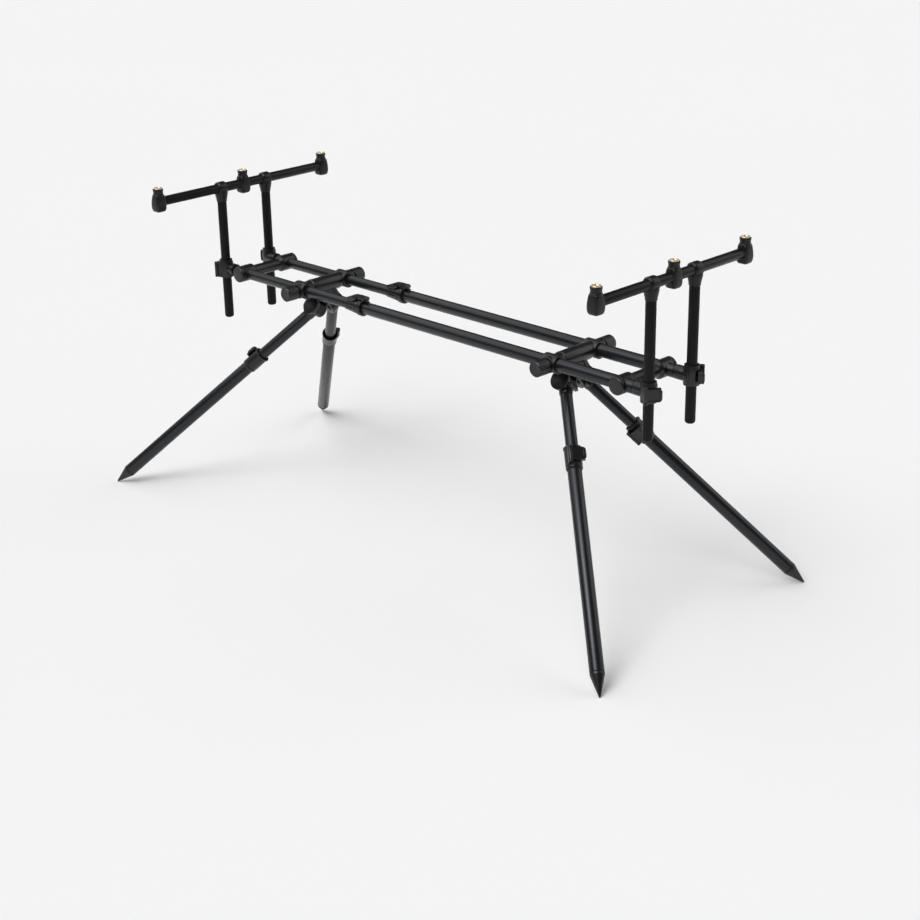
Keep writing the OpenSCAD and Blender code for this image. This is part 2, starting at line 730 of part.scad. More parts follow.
module rest_heads(e) {
    half = head_y(e) + head_w / 2 - 4;
    color(moulded_black) for (place = [-1, 0, 1])
        translate([post_x(e), place * head_y(e), bar_z(e)]) difference() {
        head_body();
        translate([0, -place * head_y(e), 0]) along_y() bore(post_r + fit_gap, -half, half);
        bore(insert_r + fit_gap, insert_low, head_top + cut);
    }
}

module brass_inserts(e) {
    floor_t = 1;
    color(insert_brass) for (place = [-1, 0, 1])
        translate([post_x(e), place * head_y(e), bar_z(e)]) difference() {
        union() {
            bore(insert_r, insert_low, head_top);
            bore(insert_flange_r, head_top, head_top + insert_flange_t);
        }
        bore(insert_bore_r, insert_low + floor_t, head_top + insert_flange_t + cut);
    }
}

for (s = SIDES) {
    if (wanted(str("outer_rail_", side_name(s)))) outer_rail(s);
    if (wanted(str("inner_rail_", side_name(s)))) inner_rail(s);
    if (wanted(str("rail_lever_", side_name(s)))) rail_lever(s);
}
if (wanted("rail_clamps")) rail_clamps();
for (e = ENDS) {
    if (wanted(str(end_name(e), "_end_bar"))) end_bar(e);
    if (wanted(str(end_name(e), "_post_clamps"))) post_clamps(e);
    if (wanted(str(end_name(e), "_lever_pins"))) lever_pins(e);
    if (wanted(str(end_name(e), "_leg_block"))) leg_block(e);
    if (wanted(str(end_name(e), "_hinge_pins"))) hinge_pins(e);
    if (wanted(str(end_name(e), "_posts"))) posts(e);
    if (wanted(str(end_name(e), "_buzz_bar"))) buzz_bar(e);
    if (wanted(str(end_name(e), "_bar_sleeves"))) bar_sleeves(e);
    if (wanted(str(end_name(e), "_rest_heads"))) rest_heads(e);
    if (wanted(str(end_name(e), "_brass_inserts"))) brass_inserts(e);
}
for (e = ENDS, s = SIDES) {
    if (wanted(str(end_name(e), "_knob_", side_name(s)))) knob(e, s);
    if (wanted(str(end_name(e), "_post_lever_", side_name(s)))) post_lever(e, s);
    if (wanted(leg_node(e, s, "leg_head"))) leg_head(e, s);
    if (wanted(leg_node(e, s, "upper_tube"))) upper_tube(e, s);
    if (wanted(leg_node(e, s, "leg_collar"))) leg_collar(e, s);
    if (wanted(leg_node(e, s, "leg_lever"))) leg_lever(e, s);
    if (wanted(leg_node(e, s, "lower_tube"))) lower_tube(e, s);
    if (wanted(leg_node(e, s, "spike"))) spike(e, s);
}
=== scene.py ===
import json
import math

import bmesh
import bpy
from mathutils import Matrix, Vector


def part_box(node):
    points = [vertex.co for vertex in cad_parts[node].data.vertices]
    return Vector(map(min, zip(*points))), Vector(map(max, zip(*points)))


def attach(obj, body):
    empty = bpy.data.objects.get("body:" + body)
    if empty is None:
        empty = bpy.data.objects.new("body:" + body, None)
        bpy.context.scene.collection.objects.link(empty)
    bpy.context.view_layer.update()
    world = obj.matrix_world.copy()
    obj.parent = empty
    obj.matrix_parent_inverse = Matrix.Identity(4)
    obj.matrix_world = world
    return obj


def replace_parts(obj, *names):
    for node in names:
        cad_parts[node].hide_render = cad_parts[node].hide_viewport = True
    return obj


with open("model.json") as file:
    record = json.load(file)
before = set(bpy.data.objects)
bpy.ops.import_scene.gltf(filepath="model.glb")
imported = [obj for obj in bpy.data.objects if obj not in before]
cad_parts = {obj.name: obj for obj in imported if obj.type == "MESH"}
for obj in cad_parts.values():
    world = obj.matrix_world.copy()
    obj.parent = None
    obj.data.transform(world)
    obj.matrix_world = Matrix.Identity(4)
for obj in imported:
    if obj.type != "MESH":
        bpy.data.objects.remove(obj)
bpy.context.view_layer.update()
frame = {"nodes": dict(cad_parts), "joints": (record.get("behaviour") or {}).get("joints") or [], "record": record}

MM = 0.001
X, Y, Z = Vector((1, 0, 0)), Vector((0, 1, 0)), Vector((0, 0, 1))
ENDS = {"front": 1, "rear": -1}
SIDES = {"left": -1, "right": 1}
JOINTS = {joint["name"]: joint for joint in frame["joints"]}
BODIES = frame["record"]["behaviour"]["bodies"]
BODY_OF = {member: body for body, members in BODIES.items() for member in members}

# Sizes in millimetres that the boxes of the solids don't give
TUBE_WALL = 1.4
END_MID_R = 10.0
END_MID_HALF = 27.0
END_DISC_T = 5.0
END_GROOVE = 1.5
END_GROOVE_W = 2.0
END_TAPER = 5.0
END_CHAMFER = 1.6
KNOB_R = 12.5
KNOB_LEN = 24.0
KNOB_SCREW_R = 4.0
KNOB_FLUTES = 20
KNOB_FLUTE_DEPTH = 0.35
KNOB_CHAMFER = 1.6
KNOB_DISH = 0.8
KNOB_RIM = 2.6
KNOB_NECK = 2.4
KNOB_NECK_LEN = 1.6
KNOB_NECK_STEP = 2.2
KNOB_PLAIN = 4.0
KNOB_FLUTE_BAND = 1.9
COLLAR_R = 13.0
COLLAR_RIM_R = 14.0
COLLAR_MOUTH_R = 12.4
COLLAR_GUIDE_R = 9.8
COLLAR_GUIDE = 12.0
COLLAR_BORE_R = 11.05
COLLAR_FUNNEL = 6.0
COLLAR_RIM = 2.5
COLLAR_RIM_STEP = 3.5
COLLAR_GROOVE = 1.0
COLLAR_GROOVE_STEPS = (7.0, 6.2, 5.0, 4.2)
COLLAR_CHAMFER = 3.0
POST_CLAMP_R = 12.3
NECK_R = 10.9
NECK_WALL = 0.9
NECK_FROM = 9.0
NECK_TO = 25.0
LEVER_T = 5.5
LEVER_H = 20.0
LEVER_LEN = 23.5
LEVER_HEEL = 2.0
LEVER_BACK = 8.0
LEVER_GAP = 0.6
LEVER_CORNER = 5.0
LEVER_KNUCKLE_R = 3.3
LEVER_PIN_R = 2.0
PANEL_RIM = 2.2
PANEL_DEPTH = 0.6
LIP_W = 3.4
LIP_H = 13.0
LIP_INSET = 2.9
LIP_RISE = 0.9
LIP_ROOT = 1.0
HOOK_W = 2.4
HOOK_H = 15.0
HOOK_INSET = 1.4
CHEEK = 3.4
CHEEK_T = 2.2
CHEEK_ROOT = 1.0
CHEEK_FROM = 2.0
CHEEK_END = 0.8
CHEEK_INSET = 0.6
WEB_GAP = 0.4
WEB_INSET = 0.3
WEB_LAP = 0.1
WEB_SLANT = 1.0
WEB_ROOT_NEAR = 4.0
WEB_ROOT_FAR = 6.5
LUG_T = 3.0
LUG_CORNER = 3.0
LUG_ROOT_NEAR = 10.3
LUG_ROOT_FAR = 5.0
SIDE_GAP = 0.3
RAIL_PIN_R = 1.3
RAIL_LEVER_EASE = 0.5
RAIL_LEVER_CROWN = 2.4
RAIL_PIN_HALF = 9.8
HINGE_PIN_R = 3.0
HINGE_PIN_TAIL = -12.3
HINGE_PIN_HEAD = 13.3
HINGE_HEAD_R = 5.0
HINGE_HEAD_T = 2.0
SPIKE_CONE = 33.0
SPIKE_SHOULDER = 4.0
SPIKE_GROOVE = 0.8
TIP_R = 1.5
FOOT_ROUND = 4.0
FOOT_T = 6.0
BORE_GAP = 0.05
SLEEVE_R = 11.2
SLEEVE_LEN = 19.0
SLEEVE_NECK = 23.5
SLEEVE_SHOULDER = 3.0
SLEEVE_RIM = 0.8
SLEEVE_LIP = 1.0
SLEEVE_LIP_H = 4.0
SLEEVE_LIP_SLOPE = 0.3
SLEEVE_BULGE = 0.4
HEAD_CORNER = 5.0
HEAD_DROP = 16.5
HEAD_SHOULDER = 12.0
HEAD_NECK_R = 8.8
HEAD_TOP = 22.5
HEAD_ROOT = 0.6
HEAD_ROOT_SINK = 2.0
HEAD_ROOT_H = 1.0
HEAD_WAIST = 0.5
HEAD_WAIST_FROM = 1.8
HEAD_WAIST_TO = 3.6
HEAD_LIP = 3.0
INSERT_R = 6.0
INSERT_FLANGE_R = 7.0
INSERT_FLANGE_T = 2.0
INSERT_BORE_R = 4.2
INSERT_CHAMFER = 0.6
INSERT_LEAD = 0.9
INSERT_FLOOR = 1.0
THREAD_PITCH = 1.27
THREAD_HALF = 0.45
THREAD_DEPTH = 0.55
THREAD_ROOT = 0.1
THREAD_FROM = 2.0
THREAD_TO = 1.2
THREAD_STEPS = 20
EASE = 0.45

# Width of a rest head at each height above the bar's axis, as a share of its widest level
HEAD_LEVELS = {-HEAD_DROP: 0.66, -15.6: 0.79, -13.6: 0.90, -10.5: 0.97, -6.0: 1.0, 0.0: 0.97, 5.0: 0.91,
               8.5: 0.86, 10.6: 0.825, HEAD_SHOULDER: 0.75}

# Tolerances in metres and degrees
MERGE = 1e-6
ON_PLANE = 1e-7
SAME_LEVEL = 1e-5
SHARP_ANGLE = 28
SHADE_ANGLE = 32
FLAT_ANGLE = 0.5


# Shader building

class Value:
    """One output of a shader node that can stand in sums."""

    def __init__(self, shader, socket):
        self.shader = shader
        self.socket = socket

    def sum_node(self, operation, a, b):
        return self.shader.node("ShaderNodeMath", {"operation": operation}, {0: a, 1: b})

    def __add__(self, other):
        return self.sum_node("ADD", self, other)

    __radd__ = __add__

    def __mul__(self, other):
        return self.sum_node("MULTIPLY", self, other)

    __rmul__ = __mul__

    def __sub__(self, other):
        return self.sum_node("SUBTRACT", self, other)

    def __rsub__(self, other):
        return self.sum_node("SUBTRACT", other, self)


class Shader:
    """A material, or the studio's surroundings, under construction."""

    def __init__(self, owner):
        self.owner = owner
        owner.use_nodes = True
        self.tree = owner.node_tree
        self.tree.nodes.clear()

    def node(self, kind, settings=None, inputs=None, output=0):
        made = self.tree.nodes.new(kind)
        for name, value in (settings or {}).items():
            setattr(made, name, value)
        for name, value in (inputs or {}).items():
            if isinstance(value, Value):
                self.tree.links.new(value.socket, made.inputs[name])
            else:
                made.inputs[name].default_value = value
        return Value(self, made.outputs[output]) if made.outputs else None

    def local(self):
        """Coordinates along each piece's own axis, in metres."""
        return self.node("ShaderNodeAttribute", {"attribute_name": "local"}, output="Vector")

    def noise(self, vector, scale, detail=3.0, roughness=0.5):
        return self.node("ShaderNodeTexNoise", inputs={
            "Vector": vector, "Scale": scale, "Detail": detail, "Roughness": roughness}, output="Fac")

    def stretched(self, vector, factors):
        return self.node("ShaderNodeVectorMath", {"operation": "MULTIPLY"}, {0: vector, 1: factors})

    def spread(self, value, low, high):
        return self.node("ShaderNodeMapRange", {"clamp": True}, {
            "Value": value, "From Min": low, "From Max": high})

    def mixed(self, factor, first, second):
        return self.node("ShaderNodeMix", {"data_type": "RGBA"}, {0: factor, 6: first, 7: second}, 2)

    def bump(self, height, strength, distance):
        return self.node("ShaderNodeBump", inputs={
            "Height": height, "Strength": strength, "Distance": distance})

    def surface(self, **inputs):
        names = {name.replace("_", " ").title().replace("Ior", "IOR"): value
                 for name, value in inputs.items()}
        shader = self.node("ShaderNodeBsdfPrincipled", inputs=names)
        self.node("ShaderNodeOutputMaterial", inputs={"Surface": shader})
        return self.owner


def grey(level):
    return (level, level, level, 1.0)


def satin_tube():
    """Drawn tube, satin black anodised: fine lines along the tube, faint scuffs and a cool cast."""
    sh = Shader(bpy.data.materials.new("satin_black_tube"))
    place = sh.local()
    lines = sh.noise(sh.stretched(place, (2600.0, 2600.0, 18.0)), 1.0, 2.0)
    cloud = sh.noise(place, 22.0, 4.0, 0.6)
    scuffs = sh.spread(sh.noise(sh.stretched(place, (420.0, 420.0, 60.0)), 1.0, 4.0, 0.7), 0.62, 0.8)
    colour = sh.mixed(cloud, (0.0048, 0.0052, 0.0066, 1), (0.0080, 0.0084, 0.0102, 1))
    colour = sh.mixed(scuffs * 0.2, colour, (0.030, 0.031, 0.034, 1))
    return sh.surface(
        base_color=colour,
        roughness=0.21 + 0.08 * lines + 0.05 * cloud + 0.08 * scuffs,
        specular_ior_level=0.46,
        specular_tint=(0.90, 0.94, 1.0, 1.0),
        normal=sh.bump(lines, 0.1, 0.00004))


def black_tube(name, gloss, roughness):
    """Black coated tube of the posts and bars, with a fine grain and rubbed streaks."""
    sh = Shader(bpy.data.materials.new(name))
    place = sh.local()
    grain = sh.noise(place, 2400.0, 2.0)
    cloud = sh.noise(place, 30.0, 4.0, 0.6)
    rubs = sh.spread(sh.noise(sh.stretched(place, (300.0, 300.0, 24.0)), 1.0, 4.0, 0.65), 0.6, 0.78)
    colour = sh.mixed(cloud, grey(0.0040), grey(0.0072))
    colour = sh.mixed(rubs * 0.2, colour, grey(0.028))
    return sh.surface(
        base_color=colour,
        roughness=roughness + 0.1 * grain + 0.06 * cloud - 0.06 * rubs,
        specular_ior_level=gloss,
        normal=sh.bump(grain, 0.2, 0.00005))


def moulding(name, gloss):
    """Glass-filled black plastic with a fine spark texture and slightly rubbed edges."""
    sh = Shader(bpy.data.materials.new(name))
    place = sh.local()
    spark = sh.noise(place, 1500.0, 3.0, 0.6)
    cloud = sh.noise(place, 60.0, 4.0, 0.6)
    edge = sh.spread(sh.node("ShaderNodeNewGeometry", output="Pointiness"), 0.52, 0.62)
    worn = edge * sh.spread(cloud, 0.35, 0.7)
    colour = sh.mixed(cloud, grey(0.0040), grey(0.0072))
    colour = sh.mixed(worn * 0.35, colour, grey(0.035))
    return sh.surface(
        base_color=colour,
        roughness=0.22 + 0.12 * spark + 0.06 * cloud - 0.06 * worn,
        specular_ior_level=gloss,
        normal=sh.bump(spark, 0.2, 0.00008))


def turned_brass():
    """Turned brass with tool rings and a little tarnish."""
    sh = Shader(bpy.data.materials.new("turned_brass"))
    place = sh.local()
    rings = sh.noise(sh.stretched(place, (60.0, 60.0, 5200.0)), 1.0, 1.0)
    tarnish = sh.noise(place, 260.0, 4.0, 0.6)
    colour = sh.mixed(tarnish, (0.92, 0.78, 0.54, 1), (0.74, 0.59, 0.38, 1))
    return sh.surface(
        base_color=colour,
        roughness=0.18 + 0.1 * rings + 0.12 * tarnish,
        metallic=1.0,
        normal=sh.bump(rings, 0.15, 0.00004))


def dark_steel():
    """Blackened steel of the pins, rubbed bright in places."""
    sh = Shader(bpy.data.materials.new("dark_steel"))
    place = sh.local()
    rub = sh.noise(place, 420.0, 4.0, 0.65)
    colour = sh.mixed(sh.spread(rub, 0.4, 0.7), grey(0.04), grey(0.15))
    return sh.surface(base_color=colour, roughness=0.28 + 0.2 * rub, metallic=1.0)


SATIN = satin_tube()
MATT = black_tube("matt_black_post", 0.17, 0.38)
GLOSS = black_tube("satin_black_bar", 0.18, 0.20)
MOULD = moulding("black_moulding", 0.46)
DULL_MOULD = moulding("dull_black_moulding", 0.30)
BRASS = turned_brass()
STEEL = dark_steel()


# Places, taken from the frame

def axes(origin, x, y, z):
    """A place with the given axes."""
    place = Matrix((x, y, z)).transposed().to_4x4()
    place.translation = origin
    return place


def facing(origin, z):
    """A place whose Z points along z."""
    x = z.orthogonal().normalized()
    return axes(origin, x, z.cross(x), z)


def upright(origin):
    """A place with the frame's own axes."""
    return axes(origin, X, Y, Z)


def crosswise(origin):
    """A place whose Z runs across the frame."""
    return axes(origin, Z, X, Y)


def lengthwise(origin):
    """A place whose Z runs along the frame."""
    return axes(origin, Y, Z, X)


def centre(node):
    low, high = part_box(node)
    return (low + high) / 2


def reach(node, place):
    """Lowest and highest corner of a solid along a place's own axes, in millimetres."""
    back = place.inverted()
    spots = [(back @ vert.co) / MM for vert in frame["nodes"][node].data.vertices]
    return (Vector([min(spot[i] for spot in spots) for i in range(3)]),
            Vector([max(spot[i] for spot in spots) for i in range(3)]))


def leg_place(end, side):
    """The hinge of a leg, with Z down the leg and Y along its pin."""
    fold = JOINTS[f"{end}_{side}_leg_fold"]
    down = Vector(JOINTS[f"{end}_{side}_leg_slide"]["axis"]) * -ENDS[end]
    pin = -Vector(fold["axis"])
    return axes(Vector(fold["pos_m"]), pin.cross(down), pin, down)


def clasp_place(pin, ring_axis, along, ring_r):
    """The middle of a clasp on its ring's axis, with X out through the lever and the pin at +Y."""
    origin = ring_axis + along * (pin - ring_axis).dot(along)
    out = pin - origin
    lever_x = ring_r + LEVER_GAP + LEVER_T / 2
    x = (lever_x * out - LEVER_BACK * along.cross(out)).normalized()
    return axes(origin, x, along.cross(x), along)


def leg_clasp(end, side):
    place = leg_place(end, side)
    pin = Vector(JOINTS[f"{end}_{side}_leg_lever_turn"]["pos_m"])
    return clasp_place(pin, place.translation, place.col[2].to_3d(), COLLAR_R)


def post_axis(end, side):
    low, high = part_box(f"{end}_posts")
    half = (high.x - low.x) / 2
    return Vector((low.x + half, low.y + half if side == "left" else high.y - half, 0))


def post_clasp(end, side):
    turn = JOINTS[f"{end}_post_lever_{side}_turn"]
    return clasp_place(Vector(turn["pos_m"]), post_axis(end, side), Vector(turn["axis"]), POST_CLAMP_R)


# Mesh building

def placed(bm, place):
    """Keeps the shell's own coordinates for its material and puts it in its place."""
    layer = bm.verts.layers.float_vector.new("local")
    for vert in bm.verts:
        vert[layer] = vert.co
    bmesh.ops.transform(bm, matrix=place, verts=bm.verts)
    return bm


def lathe(profile, corner=0.4, steps=48, closed=False):
    """A turned shell from (radius, height) points in millimetres, with its corners rounded."""
    bm = bmesh.new()
    verts = [bm.verts.new((r * MM, 0, z * MM)) for r, z in profile]
    ring = verts + verts[:1] if closed else verts
    for pair in zip(ring, ring[1:]):
        bm.edges.new(pair)
    bmesh.ops.bevel(bm, geom=[v for v in verts if len(v.link_edges) == 2], offset=corner * MM,
                    offset_type="OFFSET", segments=3, profile=0.5, affect="VERTICES", material=-1,
                    clamp_overlap=True)
    bmesh.ops.spin(bm, geom=bm.verts[:] + bm.edges[:], axis=Z, cent=(0, 0, 0), angle=2 * math.pi,
                   steps=steps, use_merge=True)
    bmesh.ops.remove_doubles(bm, verts=bm.verts, dist=MERGE)
    bmesh.ops.recalc_face_normals(bm, faces=bm.faces)
    return bm


def ease(bm, width, segments=2, above=-math.inf):
    """Rounds the sharp edges of a shell, or only those above a height."""
    sharp = [e for e in bm.edges if e.is_manifold and e.calc_face_angle() > math.radians(SHARP_ANGLE)
             and min(v.co.z for v in e.verts) > above]
    bmesh.ops.bevel(bm, geom=sharp, offset=width * MM, offset_type="OFFSET", segments=segments, profile=0.5,
                    affect="EDGES", material=-1, clamp_overlap=True, miter_outer="ARC")


def slab(outline, low, high, corner=0.0, rounded=None, edge=0.5, panel=0.0):
    """A plate over an outline in millimetres in XY, with round corners, eased edges and a sunk panel."""
    bm = bmesh.new()
    verts = [bm.verts.new((x * MM, y * MM, low * MM)) for x, y in outline]
    bm.faces.new(verts)
    if corner:
        bmesh.ops.bevel(bm, geom=[verts[i] for i in rounded or range(len(verts))], offset=corner * MM,
                        offset_type="OFFSET", segments=5, profile=0.5, affect="VERTICES", material=-1)
    grown = bmesh.ops.extrude_face_region(bm, geom=bm.faces[:])
    bmesh.ops.translate(bm, vec=Z * (high - low) * MM,
                        verts=[g for g in grown["geom"] if isinstance(g, bmesh.types.BMVert)])
    bmesh.ops.recalc_face_normals(bm, faces=bm.faces)
    if panel:
        top = max(bm.faces, key=lambda face: face.calc_center_median().z)
        bmesh.ops.inset_region(bm, faces=[top], thickness=PANEL_RIM * MM, use_even_offset=True)
        bmesh.ops.inset_region(bm, faces=[top], thickness=0.7 * panel * MM, depth=-panel * MM,
                               use_even_offset=True)
    ease(bm, edge, 3)
    return bm


def bar(width, length, at):
    """The outline of a plain rectangle."""
    corners = ((-1, -1), (1, -1), (1, 1), (-1, 1))
    return [(at[0] + x * width / 2, at[1] + y * length / 2) for x, y in corners]


def eased_copy(node, width, place, crown=0.0):
    """A merged copy of a solid with its sharp edges rounded, and those of its upper half by the crown."""
    bm = bmesh.new()
    bm.from_mesh(frame["nodes"][node].data)
    bmesh.ops.remove_doubles(bm, verts=bm.verts, dist=MERGE)
    bmesh.ops.dissolve_limit(bm, angle_limit=math.radians(FLAT_ANGLE), verts=bm.verts, edges=bm.edges)
    if crown:
        ease(bm, crown, 5, centre(node).z)
    ease(bm, width)
    bmesh.ops.transform(bm, matrix=place.inverted(), verts=bm.verts)
    return placed(bm, place)


def joined(shells):
    whole = bmesh.new()
    for shell in shells:
        part = bpy.data.meshes.new("part")
        shell.to_mesh(part)
        shell.free()
        whole.from_mesh(part)
        bpy.data.meshes.remove(part)
    return whole


def fitting(name, node, finish, *shells):
    """A piece that moves with the body of a solid."""
    mesh = bpy.data.meshes.new(name)
    whole = joined(shells)
    whole.to_mesh(mesh)
    whole.free()
    mesh.materials.append(finish)
    mesh.shade_smooth()
    mesh.set_sharp_from_angle(angle=math.radians(SHADE_ANGLE))
    made = bpy.data.objects.new(name, mesh)
    bpy.context.scene.collection.objects.link(made)
    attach(made, BODY_OF[node])
    return made


def piece(node, finish, *shells):
    """The finished piece that stands for a solid."""
    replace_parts(fitting(node + "_finished", node, finish, *shells), node)


# Rails and end bars

def tube(node, place, finish):
    low, high = reach(node, place)
    r = (high.x - low.x) / 2
    wall = [(r - TUBE_WALL, low.z), (r, low.z), (r, high.z), (r - TUBE_WALL, high.z)]
    piece(node, finish, placed(lathe(wall, closed=True, steps=64), place))


def end_bar(node):
    """A turned cross bar with a slim middle, bosses round the rails and a disc at each end."""
    place = crosswise(centre(node))
    _, high = reach(node, place)
    boss, half = high.x, high.z
    disc = half - END_DISC_T
    floor_r, groove_end = boss - END_GROOVE, disc - END_GROOVE_W
    side = [(0, half), (boss - END_CHAMFER, half), (boss, half - END_CHAMFER), (boss, disc),
            (floor_r, disc), (floor_r, groove_end), (boss, groove_end),
            (boss, END_MID_HALF + END_TAPER), (END_MID_R, END_MID_HALF)]
    piece(node, MOULD, placed(lathe(side + [(r, -z) for r, z in reversed(side)], 0.6), place))


def post_clamps(end):
    """Ring clamps of the posts, and the satin metal necks that join them to the rail ends."""
    node = f"{end}_post_clamps"
    webs = [placed(clasp_web(POST_CLAMP_R), post_clasp(end, side)) for side in SIDES]
    piece(node, MOULD, eased_copy(node, EASE, crosswise(centre(node))), *webs)
    shells = []
    for side in SIDES:
        rail = centre(f"outer_rail_{side}")
        place = facing(Vector((post_axis(end, side).x, rail.y, rail.z)), X * -ENDS[end])
        inner = NECK_R - NECK_WALL
        band = [(inner, NECK_FROM), (NECK_R, NECK_FROM), (NECK_R, NECK_TO), (inner, NECK_TO)]
        shells.append(placed(lathe(band, 0.3, closed=True), place))
    fitting(f"{end}_clamp_necks", node, SATIN, *shells)


# Clasps

def lever(node, place, ring_r, pegs):
    """A clasp lever: a plate with a sunk panel, lip, hook and cheeks, and a knuckle round its pin."""
    width = LEVER_LEN + LEVER_HEEL
    low = ring_r + LEVER_GAP
    high = low + LEVER_T
    middle = LEVER_BACK + LEVER_HEEL - width / 2
    flat = axes(place.translation, *[place.col[i].to_3d() for i in (1, 2, 0)])
    plate = slab(bar(width, LEVER_H, (middle, 0)), low, high, LEVER_CORNER, edge=0.8, panel=PANEL_DEPTH)
    tip = middle - width / 2
    root = high - LIP_ROOT
    lip = slab(bar(LIP_W, LIP_H, (tip + LIP_INSET, 0)), root, high + LIP_RISE, corner=1.4, edge=0.6)
    hook = slab(bar(HOOK_W, HOOK_H, (tip + HOOK_INSET, 0)), low - CHEEK, root, corner=1.1, edge=0.5)
    turns = [step / 4 * math.acos(1 - CHEEK / low) for step in range(5)]
    cheek = [(low + CHEEK_ROOT, CHEEK_FROM)] + [(low * math.cos(t), -low * math.sin(t)) for t in turns]
    cheek += [(low - CHEEK, tip + CHEEK_END), (low + CHEEK_ROOT, tip + CHEEK_END)]
    inner = LEVER_H / 2 - CHEEK_INSET
    cheeks = [slab(cheek, z, z + CHEEK_T, edge=0.4) for z in (-inner, inner - CHEEK_T)]
    knuckle = lathe([(0, -LEVER_H / 2), (LEVER_KNUCKLE_R, -LEVER_H / 2), (LEVER_KNUCKLE_R, LEVER_H / 2),
                     (0, LEVER_H / 2)], 0.6, 32)
    pin_place = place @ Matrix.Translation(Vector((low + LEVER_T / 2, LEVER_BACK, 0)) * MM)
    shells = [placed(plate, flat), placed(lip, flat), placed(hook, flat), placed(knuckle, pin_place)]
    shells += [placed(shell, place) for shell in cheeks]
    if pegs:
        shells.append(placed(pin(LEVER_PIN_R, LEVER_H / 2 + SIDE_GAP + LUG_T), pin_place))
    piece(node, MOULD, *shells)


def clasp_web(ring_r):
    """The wall between the two lugs of a clasp, which closes the gap behind the lever's knuckle."""
    wall = ring_r + LEVER_GAP + LEVER_T / 2 - LEVER_KNUCKLE_R - WEB_GAP
    near = LEVER_BACK - LEVER_KNUCKLE_R + WEB_INSET
    far = LEVER_BACK + LEVER_KNUCKLE_R - WEB_INSET
    half = LEVER_H / 2 + SIDE_GAP + WEB_LAP
    outline = [(ring_r - WEB_ROOT_NEAR, near), (wall, near), (wall, far - WEB_SLANT),
               (ring_r - WEB_ROOT_FAR, far)]
    return slab(outline, -half, half, edge=0.3)


def pin(r, half, dome=0.35):
    """A plain pin with domed ends."""
    end = [(0, half + dome), (0.6 * r, half + 0.7 * dome), (r, half - dome)]
    return lathe(end + [(radius, -z) for radius, z in reversed(end)], 0.1, 24)


def lever_pins(end):
    shells = []
    half = LEVER_H / 2 + SIDE_GAP + LUG_T
    for side in SIDES:
        turn = JOINTS[f"{end}_post_lever_{side}_turn"]
        shells.append(placed(pin(LEVER_PIN_R, half), facing(Vector(turn["pos_m"]), Z)))
        if end == "front":
            turn = JOINTS[f"rail_lever_{side}_turn"]
            shells.append(placed(pin(RAIL_PIN_R, RAIL_PIN_HALF), facing(Vector(turn["pos_m"]), Y)))
    piece(f"{end}_lever_pins", STEEL, *shells)


# Leg carriers

def knob(node, side):
    """A fluted locking knob with a dished end, on its screw."""
    middle = centre(node)
    place = facing(Vector((middle.x, 0, middle.z)), Y * SIDES[side])
    low, high = reach(node, place)
    face, end = high.z - KNOB_LEN, high.z
    flute_from = face + KNOB_PLAIN
    neck, rim = KNOB_R - KNOB_NECK, KNOB_R - KNOB_RIM
    bm = lathe([(0, low.z), (KNOB_SCREW_R, low.z), (KNOB_SCREW_R, face), (neck, face),
                (neck, face + KNOB_NECK_LEN), (KNOB_R, face + KNOB_NECK_STEP), (KNOB_R, flute_from),
                (KNOB_R, end - KNOB_CHAMFER), (KNOB_R - KNOB_CHAMFER, end), (rim, end),
                (rim - KNOB_DISH, end - KNOB_DISH), (0, end - KNOB_DISH)], 0.35, 4 * KNOB_FLUTES)
    for vert in bm.verts:
        column = round(math.atan2(vert.co.y, vert.co.x) / (math.pi / (2 * KNOB_FLUTES)))
        outer = math.hypot(vert.co.x, vert.co.y) > (KNOB_R - KNOB_FLUTE_BAND) * MM
        if column % 4 == 0 and outer and vert.co.z > (flute_from + 0.1) * MM:
            vert.co.xy *= 1 - KNOB_FLUTE_DEPTH / KNOB_R
    piece(node, MOULD, placed(bm, place))


def hinge_pins(end):
    """The pins of the two forks, with a round head on the inner side."""
    shells = []
    for side in SIDES:
        place = leg_place(end, side)
        along = place.col[1].to_3d()
        inwards = facing(place.translation, along if along.y * SIDES[side] < 0 else -along)
        head, top = HINGE_PIN_HEAD, HINGE_PIN_HEAD + HINGE_HEAD_T
        profile = [(0, HINGE_PIN_TAIL), (HINGE_PIN_R, HINGE_PIN_TAIL), (HINGE_PIN_R, head),
                   (HINGE_HEAD_R, head), (HINGE_HEAD_R, top), (0, top)]
        shells.append(placed(lathe(profile, 0.5, 32), inwards))
    piece(f"{end}_hinge_pins", STEEL, *shells)


# Legs

